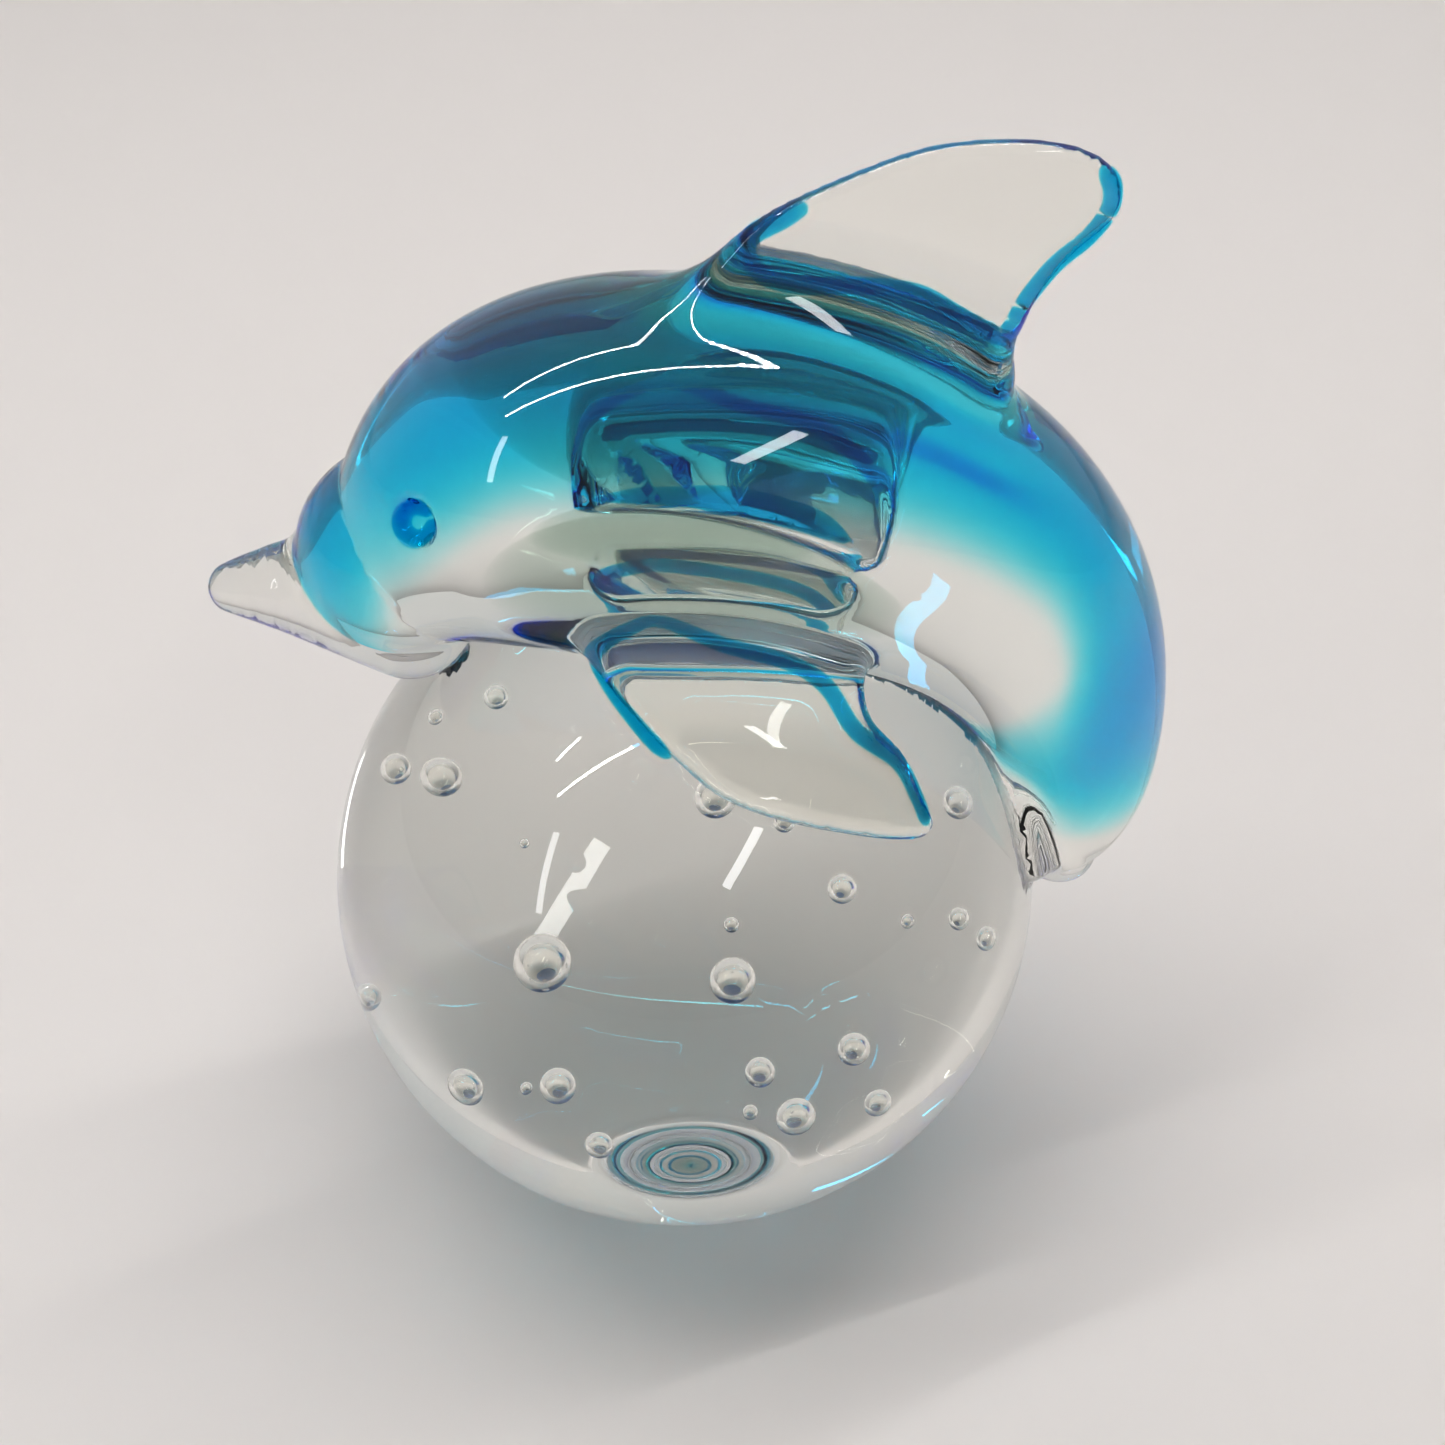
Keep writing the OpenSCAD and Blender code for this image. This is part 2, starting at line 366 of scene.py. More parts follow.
def pieceAt(d, whole):
    # which piece owns each point, 0 for the air
    owner = np.argmin(np.stack([d[name] for name in pieces]), axis=0) + 1
    owner = np.where(d["body_casing"] < 0, 2, owner)
    owner = np.where(d["ball"] < 0, 1, owner)
    return np.where(whole < 0, owner, 0).astype(np.int8)


def seamDistance(p, low, high):
    # zero on the seam between two pieces, the lower numbered of which owns the overlap
    out = np.zeros(len(p))
    for a in range(1, len(pieces)):
        for b in range(a + 1, len(pieces) + 1):
            pick = (low == a) & (high == b)
            if pick.any():
                first = nearDistance(pieces[a - 1], p[pick])
                second = nearDistance(pieces[b - 1], p[pick])
                out[pick] = first - (np.maximum(second, 0) if a < 3 else second)
    return out


def slope(function, p, step=0.02):
    out = np.empty_like(p)
    for axis in range(3):
        move = np.zeros(3)
        move[axis] = step
        out[:, axis] = (function(p + move) - function(p - move)) / (2 * step)
    return out


def sampleGlass():
    low = np.array(cadBox[0]) / mm - 3
    high = np.array(cadBox[1]) / mm + 3
    axes = [np.arange(low[i], high[i] + cell, cell) for i in range(3)]
    shape = tuple(len(a) for a in axes)
    whole = np.empty(shape, np.float32)
    owner = np.empty(shape, np.int8)
    for i, x in enumerate(axes[0]):
        p = np.stack(np.meshgrid([x], axes[1], axes[2], indexing="ij"), -1)[0]
        d = allDistances(p)
        whole[i] = wholeDistance(p, d)
        owner[i] = pieceAt(d, whole[i])
    return low, whole, owner


def moveOnto(points, which, function):
    q = points[which]
    away = slope(function, q)
    length = np.maximum((away ** 2).sum(1), 0.05)
    step = -function(q)[:, None] * away / length[:, None]
    size = np.linalg.norm(step, axis=1, keepdims=True)
    points[which] = q + step * np.minimum(1, 0.6 * cell / np.maximum(size, 1e-9))


def netGlass():
    # one net of quads over every change of owner, with its corners moved onto the true surface
    low, whole, owner = sampleGlass()
    stride = np.array([whole.shape[1] * whole.shape[2], whole.shape[2], 1])
    total = whole.size
    sums = np.zeros((total, 3))
    counts = np.zeros(total)
    quads, sides = [], []
    for axis in range(3):
        first = [slice(1, -1)] * 3
        second = [slice(1, -1)] * 3
        second[axis] = slice(2, None)
        at = np.argwhere(owner[tuple(first)] != owner[tuple(second)]) + 1
        there = at.copy()
        there[:, axis] += 1
        la, lb = owner[tuple(at.T)], owner[tuple(there.T)]
        fa, fb = whole[tuple(at.T)].astype(float), whole[tuple(there.T)].astype(float)
        outer = (la == 0) | (lb == 0)
        crossing = at.astype(float)
        crossing[:, axis] += np.where(outer, np.clip(fa / np.where(fa == fb, 1, fa - fb), 0.02, 0.98), 0.5)
        u, v = (axis + 1) % 3, (axis + 2) % 3
        corner = at @ stride
        ring = [corner - stride[u] - stride[v], corner - stride[v], corner, corner - stride[u]]
        for cells in ring:
            for k in range(3):
                sums[:, k] += np.bincount(cells, crossing[:, k], total)
            counts += np.bincount(cells, minlength=total)
        quads.append(np.stack(ring, 1))
        sides.append(np.stack([la, lb], 1))
    used = np.flatnonzero(counts)
    index = np.zeros(total, int)
    index[used] = np.arange(len(used))
    points = low + cell * sums[used] / counts[used, None]
    quads = index[np.concatenate(quads)]

    # which owners meet at each corner of the net
    at = np.stack(np.unravel_index(used, whole.shape), 1)
    steps = [(i, j, k) for i in (0, 1) for j in (0, 1) for k in (0, 1)]
    around = np.stack([owner[at[:, 0] + i, at[:, 1] + j, at[:, 2] + k] for i, j, k in steps], 1)
    touchesAir = (around == 0).any(1)
    present = np.stack([(around == k).any(1) for k in range(1, len(pieces) + 1)], 1)
    many = present.sum(1) > 1
    lowest = np.argmax(present, 1) + 1
    present[np.arange(len(present)), lowest - 1] = False
    second = np.argmax(present, 1) + 1

    for turn in range(5):
        moveOnto(points, many, lambda q: seamDistance(q, lowest[many], second[many]))
        moveOnto(points, touchesAir, wholeDistance)
    normals = np.zeros_like(points)
    normals[touchesAir] = slope(wholeDistance, points[touchesAir])
    normals /= np.maximum(np.linalg.norm(normals, axis=1), 1e-9)[:, None]
    return points, normals, quads, np.concatenate(sides)


points, normals, quads, sides = netGlass()
print("glass net:", len(points), "points,", len(quads), "quads")


def addMesh(name, verts, faces, custom=None, slots=None):
    mesh = bpy.data.meshes.new(name)
    mesh.from_pydata((verts * mm).tolist(), [], faces)
    mesh.polygons.foreach_set("use_smooth", np.ones(len(faces), bool))
    if slots is not None:
        mesh.polygons.foreach_set("material_index", slots)
    mesh.update()
    if custom is not None:
        mesh.normals_split_custom_set(custom.tolist())
    thing = bpy.data.objects.new(name, mesh)
    scene.collection.objects.link(thing)
    return thing


def cutPiece(number, extra=None):
    # one piece's closed mesh: its outer skin, and the seams where it is fused to others
    forward = sides[:, 0] == number
    backward = sides[:, 1] == number
    faces = np.concatenate([quads[forward], quads[backward][:, ::-1]])
    other = np.concatenate([sides[forward, 1], sides[backward, 0]])
    used, compact = np.unique(faces, return_inverse=True)
    faces = compact.reshape(faces.shape)
    verts = points[used]
    custom = np.where((other == 0)[:, None, None], normals[used][faces], 0.0).reshape(-1, 3)
    # slot 2 is the ground flat, whose colour holds painted blue shade
    slots = np.where(other != 0, 1, np.where(verts[faces][:, :, 2].max(1) < 0.05, 2, 0))
    faces = faces.tolist()
    if extra is not None:
        moreVerts, moreFaces = extra
        faces += [[v + len(verts) for v in face] for face in moreFaces]
        verts = np.concatenate([verts, moreVerts])
        custom = np.concatenate([custom, np.zeros((sum(len(face) for face in moreFaces), 3))])
        slots = np.concatenate([slots, np.zeros(len(moreFaces), int)])
    return addMesh(pieces[number - 1] + "Glass", verts, faces, custom, slots)


def hexColour(code):
    # sRGB hex to linear
    channels = [int(code[i:i + 2], 16) / 255 for i in (1, 3, 5)]
    return tuple(c / 12.92 if c <= 0.04045 else ((c + 0.055) / 1.055) ** 2.4 for c in channels) + (1.0,)


def addNode(tree, kind, settings=None, links=None):
    # adds a node, sets its values, and links its inputs from other nodes' outputs
    node = tree.nodes.new(kind)
    for key, value in (settings or {}).items():
        if isinstance(key, str) and hasattr(node, key) and key not in node.inputs:
            setattr(node, key, value)
        else:
            node.inputs[key].default_value = value
    for key, source in (links or {}).items():
        tree.links.new(source, node.inputs[key])
    return node


def newMaterial(name):
    material = bpy.data.materials.new(name)
    material.use_nodes = True
    material.node_tree.nodes.clear()
    return material, material.node_tree


def clearGlass(name, colour, roughness):
    # its tint is in the surface, because a depth of colour would have to be closed at the open seams
    material, tree = newMaterial(name)
    surface = addNode(tree, "ShaderNodeBsdfPrincipled", {
        "Base Color": hexColour(colour), "Transmission Weight": 1.0, "Roughness": roughness, "IOR": 1.51,
    })
    addNode(tree, "ShaderNodeOutputMaterial", {}, {"Surface": surface.outputs[0]})
    return material


def colouredGlass(name, colour, density):
    # lies inside clear glass of the same kind, so no surface shows, only its depth of colour
    material, tree = newMaterial(name)
    surface = addNode(tree, "ShaderNodeBsdfPrincipled", {
        "Base Color": hexColour("#ffffff"), "Transmission Weight": 1.0, "Roughness": 0.0, "IOR": 1.0,
    })
    depth = addNode(tree, "ShaderNodeVolumeAbsorption", {"Color": colour, "Density": density})
    addNode(tree, "ShaderNodeOutputMaterial", {}, {"Surface": surface.outputs[0], "Volume": depth.outputs[0]})
    return material


def fusedSeam():
    # where two gathers melted together: nothing to see, because the glass is one
    material, tree = newMaterial("fusedSeam")
    surface = addNode(tree, "ShaderNodeBsdfTransparent")
    addNode(tree, "ShaderNodeOutputMaterial", {}, {"Surface": surface.outputs[0]})
    return material


# fire-polished soda-lime glass: crisp and bright, with the faint grey-green of its iron
clear = clearGlass("firePolishedSodaGlass", "#fafaf5", 0.0)
# the ground flat: the same glass, hazy from grinding, its dark blue colour painted shade for the blue shadow
# it sits in
groundFlatPaintedShade = clearGlass("groundSodaGlassPaintedShade", "#3d5a94", 0.5)
# copper blue, cased under the clear skin along the back
blue = colouredGlass("casedCopperBlueGlass", (0.0, 0.9, 0.992, 1.0), 1400.0)
# painted reflection in the same blue: rims and eyes coloured darker to stand in for the blue body seen inside
# the clear glass
bluePaintedReflection = colouredGlass("bluePaintedReflectionGlass", (0.0, 0.86, 0.965, 1.0), 3600.0)
# green of thick glass behind the pressed flats, made dense as painted shade for the shadowed floor seen
# through them
greenAndPaintedShade = colouredGlass("greenGlassAndPaintedShade", (0.0, 0.3, 0.15, 1.0), 110.0)
seam = fusedSeam()

layer = {
    "skin": 1.2,  # clear glass over it
    "ridgeSkin": 7.0,  # the same under the fin, where clear glass was drawn up
    "thick": 5.0,  # along the back, at the middle
    "ridge": (-13, 0, 25, 36),  # angles between which clear glass was drawn up, fading in and out
    "ridgeThinner": 0.4,  # share of the blue that was drawn out of it there
    "roomShare": 0.85,  # most of the body's radius that the blue may take
    "least": 0.004,  # keeps the layer's two sheets apart where there is no blue
    "endAngle": 78.0,
    "rings": 160,
    "around": 96,
}
# blue tubes of painted reflection in the fin and flipper rims and round the eyes
paintedReflectionTubes = {
    # painted reflection of the blue body along the fin's rim: x and z from the ball's centre
    "fin": [
        (11.5, 79.4), (8.8, 78), (6.6, 76.6), (6.2, 75), (7.2, 73.2), (9, 72.2), (11.5, 71.8), (15.8, 72),
        (21, 71.3), (24.7, 69.2), (28.4, 67.1), (29.6, 67.9), (30.8, 70.6), (33, 74), (35.6, 76.6),
        (37.1, 79.2), (37, 81.4), (35.8, 83),
    ],
    "finRadius": 0.9,
    # the same painted reflection along a flipper's rim: angle and lean over the ball
    "flipper": [
        (-1, 31), (-5, 27), (-9, 21.5), (-10, 17.6), (-5.5, 14.6), (-2, 13.6), (5.3, 17), (13.9, 18.2),
        (19.3, 20), (25, 23.8), (32.5, 25.2), (38, 28.3), (41, 30.8),
    ],
    "flipperRadius": 0.85,
    "rootLift": 4.5,  # how far the flipper's painted blue rises into its root
    "eyeRingPaintedReflection": 1.5,
    "eyeRadius": 0.95,
    "eyeDepth": 1.6,  # under the skin
    "eyeTail": 0.5,  # how far the drop is drawn out
}
# green pads behind the flats: green of thick glass, darkened as painted shade
pads = {
    "skin": 0.3,
    "rimSkin": 0.3,  # how far inside the body their rim stops
    "rimSharp": 8,  # higher keeps them full closer to the rim
    "thick": 4.0,
    "middle": (2.0, 50.5),  # x and z from the ball's centre
    "rings": 16,
    "around": 72,
}


def tubeMesh(curve, radii, around=12):
    # a closed round tube along a curve, narrowed to a point at both ends
    along = np.gradient(curve, axis=0)
    along /= np.linalg.norm(along, axis=1, keepdims=True)
    side = np.cross(along, curve - ball["centre"])
    side /= np.linalg.norm(side, axis=1, keepdims=True)
    third = np.cross(along, side)
    turn = np.linspace(0, 2 * math.pi, around, endpoint=False)
    ring = side[:, None] * np.cos(turn)[None, :, None] + third[:, None] * np.sin(turn)[None, :, None]
    verts = (curve[:, None] + radii[:, None, None] * ring).reshape(-1, 3)
    faces = []
    for i in range(len(curve) - 1):
        for j in range(around):
            k = (j + 1) % around
            faces.append((i * around + j, i * around + k, (i + 1) * around + k, (i + 1) * around + j))
    return verts, np.array(faces)


def taperedTubeMesh(points3d, radius):
    curve = smoothCurve(points3d, 6, False)
    share = np.linspace(0, 1, len(curve))
    return tubeMesh(curve, radius * np.sqrt(np.clip(4 * share * (1 - share) * 6, 0.0004, 1)))


def overlayMesh():
    # the blue layer as one closed skin: a sheet under the casing, and the same sheet again deeper down
    s = np.linspace(0, 1, layer["rings"])[:, None]
    turn = np.linspace(-math.pi, math.pi, layer["around"], endpoint=False)[None, :]
    first = headAngle - np.degrees((radiusCurve(headAngle) - layer["skin"]) / reachCurve(headAngle))
    angle = first + (layer["endAngle"] - first) * (1 - np.cos(np.pi * s)) / 2  # closer rings at both ends
    held = np.clip(angle, headAngle, tailAngle)
    full = radiusCurve(held)
    past = np.maximum(np.radians(headAngle - angle) * reachCurve(headAngle), 0)
    cap = np.sqrt(np.clip(1 - (past / (radiusCurve(headAngle) - layer["skin"])) ** 2, 0, 1))
    endCap = np.sqrt(np.clip(1 - np.clip((angle - layer["endAngle"] + 7) / 7, 0, 1) ** 2, 0, 1))
    tilt = np.arcsin(np.clip(past / radiusCurve(headAngle), 0, 1))
    headness = 1 - smoothStep(-30, -12, angle)
    forward = 0.75 * headness
    facing = np.cos(tilt) * np.cos(turn) * np.sqrt(1 - forward ** 2) + np.sin(tilt) * forward
    tailness = smoothStep(35, 68, angle)
    lowEdge = 0.28 - 0.35 * headness - 1.2 * tailness
    highEdge = 0.95 - 0.25 * headness - 0.9 * tailness
    cover = smoothStep(lowEdge, highEdge, facing) * smoothStep(0.0, 1.0, (layer["endAngle"] - angle) / 16)
    along = smoothStep(*layer["ridge"][:2], angle) * (1 - smoothStep(*layer["ridge"][2:], angle))
    ridge = along * smoothStep(0.72, 0.97, np.cos(turn))
    skin = layer["skin"] + (layer["ridgeSkin"] - layer["skin"]) * ridge
    room = (full * cap * endCap - skin).clip(0, None)
    drawn = 1 - layer["ridgeThinner"] * ridge
    thick = layer["thick"] * full / radiusCurve(0) * cover * drawn
    thick = np.minimum(thick, layer["roomShare"] * room) + layer["least"]

    def sheet(depth):
        r = np.maximum(full - depth, 0) * cap * endCap
        reach = reachCurve(held) + r * np.cos(turn)
        a = np.radians(angle)
        return np.stack([reach * np.sin(a), -r * np.sin(turn), reach * np.cos(a)], -1) + ball["centre"]

    verts = np.concatenate([sheet(skin).reshape(-1, 3), sheet(skin + thick).reshape(-1, 3)])
    rings, around = layer["rings"], layer["around"]
    count = rings * around
    faces = []
    for i in range(rings - 1):
        for j in range(around):
            k = (j + 1) % around
            a, b, c, d = i * around + j, i * around + k, (i + 1) * around + k, (i + 1) * around + j
            faces.append((a, b, c, d))
            faces.append((count + d, count + c, count + b, count + a))
    for ring, way in ((0, 1), (rings - 1, -1)):
        for j in range(around):
            a, b = ring * around + j, ring * around + (j + 1) % around
            faces.append((a, count + a, count + b, b)[::way])
    return verts, np.array(faces)


def padMesh(side):
    # the green behind one flat, partly painted shade: a closed lens that reaches out to the edge of the flat
    facing = np.array(body["flatFaces"]) / np.linalg.norm(body["flatFaces"])
    across = np.cross(facing, (0, 0, 1.0))
    across /= np.linalg.norm(across)
    rising = np.cross(across, facing)
    x, z = pads["middle"]
    y = (body["flatReach"] - facing[0] * x - facing[2] * z) / facing[1]
    middle = np.array([x, y, z])
    turn = np.linspace(0, 2 * math.pi, pads["around"], endpoint=False)
    ways = across * np.cos(turn)[:, None] + rising * np.sin(turn)[:, None]
    near, far = np.zeros(len(turn)), np.full(len(turn), 40.0)
    for halving in range(20):
        half = (near + far) / 2
        within = tubeDistance(middle + half[:, None] * ways) < -pads["rimSkin"]
        near, far = np.where(within, half, near), np.where(within, far, half)
    share = np.sin(np.linspace(0, math.pi / 2, pads["rings"]))[1:, None, None]
    front = middle - facing * pads["skin"] + share * near[:, None] * ways
    depth = pads["thick"] * (1 - share ** pads["rimSharp"]) + 0.01
    back = front - facing * depth
    frontMiddle = middle - facing * pads["skin"]
    backMiddle = middle - facing * (pads["skin"] + pads["thick"])
    verts = np.concatenate([front.reshape(-1, 3), back.reshape(-1, 3), [frontMiddle], [backMiddle]])
    rings, around = len(share), len(turn)
    count = rings * around
    faces = []
    for j in range(around):
        k = (j + 1) % around
        for i in range(rings - 1):
            faces.append([i * around + j, (i + 1) * around + j, (i + 1) * around + k, i * around + k])
            faces.append([count + v for v in faces[-1][::-1]])
        rim = (rings - 1) * around
        faces.append([rim + j, count + rim + j, count + rim + k, rim + k])
        faces.append([2 * count, j, k])
        faces.append([2 * count + 1, count + k, count + j])
    verts = (verts * np.array([1, side, 1])) + ball["centre"]
    return verts, [face[::-1] for face in faces] if side > 0 else faces


def makeGreenShadePads():
    verts, faces = [], []
    for side in (1, -1):
        sideVerts, sideFaces = padMesh(side)
        faces += [[v + sum(len(part) for part in verts) for v in face] for face in sideFaces]
        verts.append(sideVerts)
    return addMesh("greenPadsAndPaintedShade", np.concatenate(verts), faces)


def eyeRingPaintedReflection(side):
    # painted reflection: a drop of blue round the dimple, for the blue body seen in it, drawn out towards the
    # tail
    turn = math.radians(eye["turn"])
    out = np.array([math.sin(math.radians(eye["angle"])) * math.cos(turn), -math.sin(turn),
                    math.cos(math.radians(eye["angle"])) * math.cos(turn)])
    radius = radiusCurve(eye["angle"])
    middle = overBall(eye["angle"], 0, reachCurve(eye["angle"])) + out * (radius - paintedReflectionTubes["eyeDepth"])
    back = np.array([math.cos(math.radians(eye["angle"])), 0, -math.sin(math.radians(eye["angle"]))])
    down = np.cross(out, back)
    sweep = np.radians(np.linspace(8, 352, 28))
    reach = paintedReflectionTubes["eyeRingPaintedReflection"] + paintedReflectionTubes["eyeTail"] * np.cos(sweep) ** 8 * (np.cos(sweep) > 0)
    curve = middle + reach[:, None] * (np.cos(sweep)[:, None] * back + np.sin(sweep)[:, None] * down)
    verts, faces = taperedTubeMesh(curve * np.array([1, side, 1]), paintedReflectionTubes["eyeRadius"])
    return verts, faces


# makes the tubes of painted blue reflection and joins them into one mesh
def makePaintedReflectionTubes():
    parts = [eyeRingPaintedReflection(1), eyeRingPaintedReflection(-1)]
    finPath = [ball["centre"] + np.array([x, 0, z]) for x, z in paintedReflectionTubes["fin"]]
    parts.append(taperedTubeMesh(finPath, paintedReflectionTubes["finRadius"]))
    reach = ball["radius"] + flipper["gap"] + flipper["half"]
    for side in (1, -1):
        path = []
        for angle, lean in paintedReflectionTubes["flipper"]:
            height = reach + paintedReflectionTubes["rootLift"] * (1 - smoothStep(*flipper["root"], lean))
            path.append(overBall(angle, lean, height) * np.array([1, side, 1]))
        parts.append(taperedTubeMesh(path[::side], paintedReflectionTubes["flipperRadius"]))
    verts, faces, count = [], [], 0
    for partVerts, partFaces in parts:
        verts.append(partVerts)
        faces.append(partFaces + count)
        count += len(partVerts)
    return addMesh("bluePaintedReflectionTubes", np.concatenate(verts), np.concatenate(faces).tolist())


bubbles = [
    # centre as shares of the ball's radius, diameter in mm
    (-0.28, -0.17, -0.08, 4.4), (0.09, -0.13, -0.16, 3.4), (0.33, -0.2, 0.15, 2.4),
    (0.34, -0.31, -0.19, 2.6), (0.14, -0.22, -0.31, 2.2), (0.23, -0.45, -0.26, 3.2),
    (0.38, -0.31, -0.33, 2.2), (-0.24, -0.22, -0.34, 2.6), (-0.45, -0.36, -0.26, 3.2),
    (-0.17, -0.4, -0.36, 2.2), (0.48, -0.27, 0.12, 1.2), (0.55, -0.09, -0.04, 1.8),
    (0.62, -0.12, -0.07, 2.0), (0.08, 0.08, -0.21, 1.1), (0.12, -0.25, -0.38, 1.1),
    (0.06, 0.04, 0.17, 3.2), (0.55, 0.08, 0.12, 2.6), (0.19, 0.08, 0.06, 1.6),
    (-0.36, 0.3, 0.17, 1.8), (-0.5, 0.21, 0.23, 1.3), (-0.53, 0.26, 0.01, 2.2),
    (-0.43, 0.31, -0.07, 2.6), (-0.54, 0.06, -0.35, 1.8), (-0.31, 0.06, 0.02, 0.7),
    (-0.28, -0.07, -0.45, 0.8),
]


def bubbleTree():
    # spheres on points, each scaled by the point's own radius, turned inside out
    tree = bpy.data.node_groups.new("airBubbles", "GeometryNodeTree")
    tree.interface.new_socket("Geometry", in_out="INPUT", socket_type="NodeSocketGeometry")
    tree.interface.new_socket("Geometry", in_out="OUTPUT", socket_type="NodeSocketGeometry")
    enter = addNode(tree, "NodeGroupInput")
    sphere = addNode(tree, "GeometryNodeMeshUVSphere", {"Segments": 32, "Rings": 20, "Radius": 1.0})
    radius = addNode(tree, "GeometryNodeInputNamedAttribute", {"data_type": "FLOAT", "Name": "bubbleRadius"})
    dots = addNode(tree, "GeometryNodeInstanceOnPoints", {}, {
        "Points": enter.outputs["Geometry"], "Instance": sphere.outputs["Mesh"], "Scale": radius.outputs[0],
    })
    real = addNode(tree, "GeometryNodeRealizeInstances", {}, {"Geometry": dots.outputs[0]})
    turned = addNode(tree, "GeometryNodeFlipFaces", {}, {"Mesh": real.outputs[0]})
    addNode(tree, "NodeGroupOutput", {}, {"Geometry": turned.outputs[0]})
    return tree


def makeBubbles():
    mesh = bpy.data.meshes.new("bubbleSpots")
    spots = [(ball["centre"] + np.array(spot[:3]) * ball["radius"]).tolist() for spot in bubbles]
    mesh.from_pydata(spots, [], [])
    radius = mesh.attributes.new("bubbleRadius", "FLOAT", "POINT")
    radius.data.foreach_set("value", [spot[3] / 2 for spot in bubbles])
    holder = bpy.data.objects.new("bubbleSpots", mesh)
    scene.collection.objects.link(holder)
    holder.modifiers.new("bubbles", "NODES").node_group = bubbleTree()
    made = bpy.data.meshes.new_from_object(holder.evaluated_get(bpy.context.evaluated_depsgraph_get()))
    bpy.data.objects.remove(holder)
    return np.array([v.co for v in made.vertices]), [list(p.vertices) for p in made.polygons]


for number, name in enumerate(pieces, 1):
    piece = cutPiece(number, makeBubbles() if name == "ball" else None)
    piece.data.materials.append(clear)
    piece.data.materials.append(seam)
    # the ground flat's material has painted blue shade in its colour
    if name == "ball":
        piece.data.materials.append(groundFlatPaintedShade)
    if name == "body_casing":
        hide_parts("body_casing", "body_gather")  # one clear body, fused
    else:
        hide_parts(name)
    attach(piece, "root")
    print("made", name, len(piece.data.polygons), "faces")

# the pads carry painted shade along with the green of thick glass
greenShadePads = makeGreenShadePads()
greenShadePads.data.materials.append(greenAndPaintedShade)
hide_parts("body_gather")
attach(greenShadePads, "root")
print("made gather pads", len(greenShadePads.data.polygons), "faces")

overlayVerts, overlayFaces = overlayMesh()
overlay = addMesh("blueOverlay", overlayVerts, overlayFaces.tolist())
for part, material in ((overlay, blue), (makePaintedReflectionTubes(), bluePaintedReflection)):
    part.data.materials.append(material)
    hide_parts("blue_overlay")
    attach(part, "root")
    print("made", part.name, len(part.data.polygons), "faces")

studio = {
    "floorHalf": 1.5,  # metres
    "floorDrop": 0.0001,  # a hair under the ground flat, so that air lies between
    "stripLength": 1.2,
    "stripWidth": 0.012,
    "stripDots": 44,
    "dotEdge": (0.16, 0.24),  # where a dot's light fades, from its middle, in shares of their spacing
    "dotGlow": 120.0,
    "gapGlow": 22.0,
    "aimHeight": 0.08,  # what the lamps face, over the floor
}


def stageMesh(name, corners, material):
    mesh = bpy.data.meshes.new(name)
    mesh.from_pydata(corners, [], [(0, 1, 2, 3)])
    mesh.materials.append(material)
    flat = mesh.uv_layers.new(name="flat")
    for loop, uv in zip(flat.data, ((0, 0), (1, 0), (1, 1), (0, 1))):
        loop.uv = uv
    thing = bpy.data.objects.new(name, mesh)
    scene.collection.objects.link(thing)


def makeFloor():
    material, tree = newMaterial("matteCardFloor")
    surface = addNode(tree, "ShaderNodeBsdfPrincipled", {
        "Base Color": hexColour("#dad5d2"), "Roughness": 0.85, "Specular IOR Level": 0.2,
    })
    addNode(tree, "ShaderNodeOutputMaterial", {}, {"Surface": surface.outputs[0]})
    half, drop = studio["floorHalf"], -studio["floorDrop"]
    corners = [(-half, -half, drop), (half, -half, drop), (half, half, drop), (-half, half, drop)]
    stageMesh("floor", corners, material)


def stripMaterial():
    # a strip of small lamps: bright dots along its length, over a faint even glow
    material, tree = newMaterial("ledStrip")
    where = addNode(tree, "ShaderNodeTexCoord")
    parts = addNode(tree, "ShaderNodeSeparateXYZ", {}, {"Vector": where.outputs["UV"]})
    along = addNode(tree, "ShaderNodeMath", {"operation": "MULTIPLY"}, {0: parts.outputs["X"]})
    along.inputs[1].default_value = studio["stripDots"]
    beat = addNode(tree, "ShaderNodeMath", {"operation": "FRACT"}, {0: along.outputs[0]})
    away = addNode(tree, "ShaderNodeMath", {"operation": "SUBTRACT", 1: 0.5}, {0: beat.outputs[0]})
    apart = addNode(tree, "ShaderNodeMath", {"operation": "ABSOLUTE"}, {0: away.outputs[0]})
    lit = addNode(tree, "ShaderNodeMapRange", {
        "From Min": studio["dotEdge"][0], "From Max": studio["dotEdge"][1],
        "To Min": studio["dotGlow"], "To Max": studio["gapGlow"],
    }, {"Value": apart.outputs[0]})
    glow = addNode(tree, "ShaderNodeEmission", {"Color": hexColour("#ffffff")}, {"Strength": lit.outputs[0]})
    addNode(tree, "ShaderNodeOutputMaterial", {}, {"Surface": glow.outputs[0]})
    return material


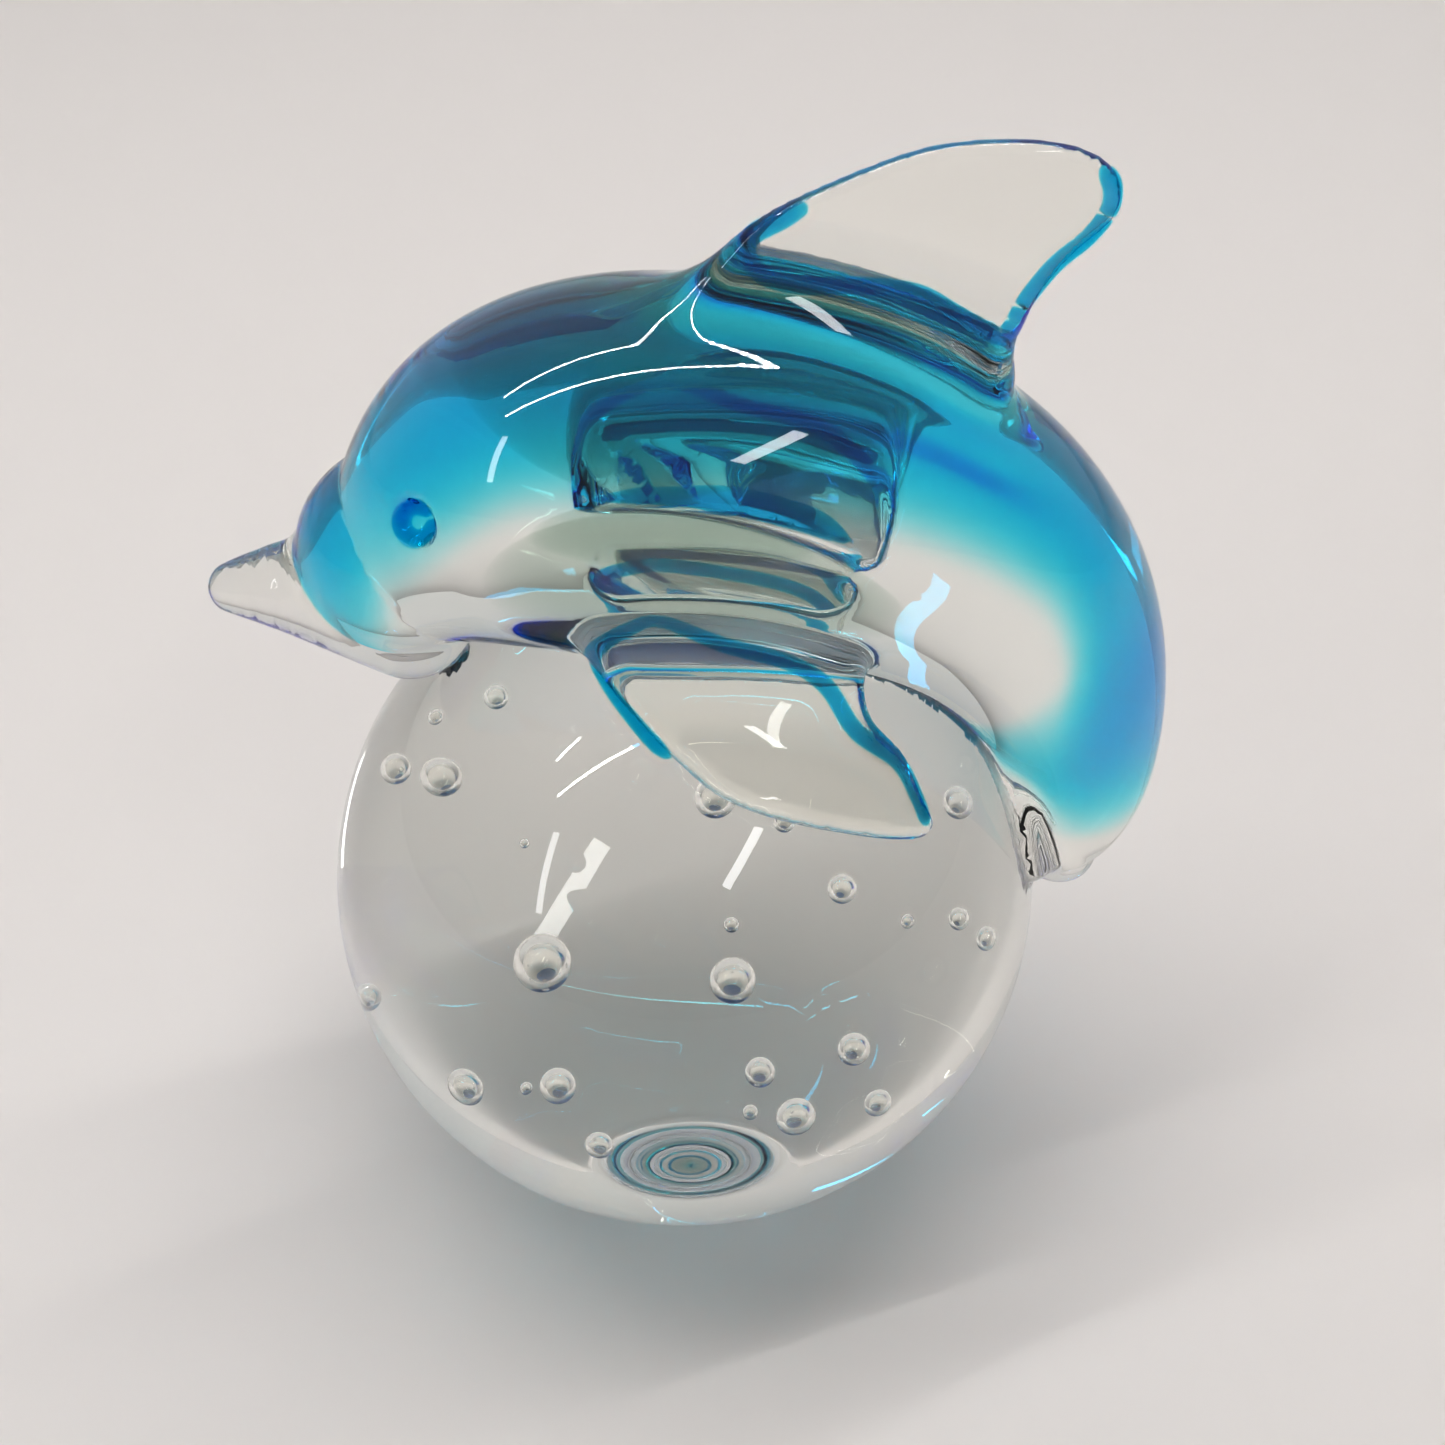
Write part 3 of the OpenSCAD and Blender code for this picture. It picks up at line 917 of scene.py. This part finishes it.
def addStrip(name, middle, turn, material):
    # lies level over the figurine, facing down
    half, wide = studio["stripLength"] / 2, studio["stripWidth"] / 2
    along = np.array([math.cos(math.radians(turn)), math.sin(math.radians(turn)), 0])
    across = np.array([-along[1], along[0], 0])
    corners = []
    for a, b in ((-1, 1), (1, 1), (1, -1), (-1, -1)):
        corners.append((np.array(middle) + a * half * along + b * wide * across).tolist())
    stageMesh(name, corners, material)


def addLamp(name, start, finish, width, power):
    # a straight lamp from start to finish, facing the figurine
    start, finish = Vector(start), Vector(finish)
    middle = (start + finish) / 2
    along = (finish - start).normalized()
    away = (middle - Vector((0, 0, studio["aimHeight"]))).normalized()
    side = away.cross(along).normalized()
    data = bpy.data.lights.new(name, "AREA")
    data.shape = "RECTANGLE"
    data.size = (finish - start).length
    data.size_y = width
    data.energy = power
    lamp = bpy.data.objects.new(name, data)
    scene.collection.objects.link(lamp)
    back = along.cross(side)
    lamp.matrix_world = Matrix.Translation(middle) @ Matrix((along, side, back)).transposed().to_4x4()


def lightStudio():
    # a dim room, with a pale wall behind the figurine
    world = bpy.data.worlds.new("studio")
    scene.world = world
    world.use_nodes = True
    tree = world.node_tree
    tree.nodes.clear()
    where = addNode(tree, "ShaderNodeTexCoord")
    parts = addNode(tree, "ShaderNodeSeparateXYZ", {}, {"Vector": where.outputs["Generated"]})
    ramp = addNode(tree, "ShaderNodeValToRGB", {}, {"Fac": parts.outputs["Y"]})
    stops = ramp.color_ramp.elements
    stops[0].position = 0.05
    stops[0].color = hexColour("#908f8e")
    stops[1].position = 0.6
    stops[1].color = hexColour("#cfcdcb")
    sky = addNode(tree, "ShaderNodeBackground", {"Strength": 1.0}, {"Color": ramp.outputs[0]})
    addNode(tree, "ShaderNodeOutputWorld", {}, {"Surface": sky.outputs[0]})
    strip = stripMaterial()
    addStrip("stripBack", (-0.04, 0.21, 0.8), 26.6, strip)
    addStrip("stripFront", (-0.06, -0.03, 0.8), 21.0, strip)
    addLamp("barLamp", (0.19, -0.63, 0.56), (0.34, -0.38, 0.71), 0.04, 0.5)
    addLamp("sideLamp", (-0.52, -0.34, 0.6), (-0.57, -0.52, 0.32), 0.03, 0.3)


makeFloor()
lightStudio()
scene.view_settings.view_transform = "Standard"
scene.cycles.max_bounces = 32
scene.cycles.transmission_bounces = 32
scene.cycles.transparent_max_bounces = 32
scene.cycles.glossy_bounces = 12
print("studio lit")
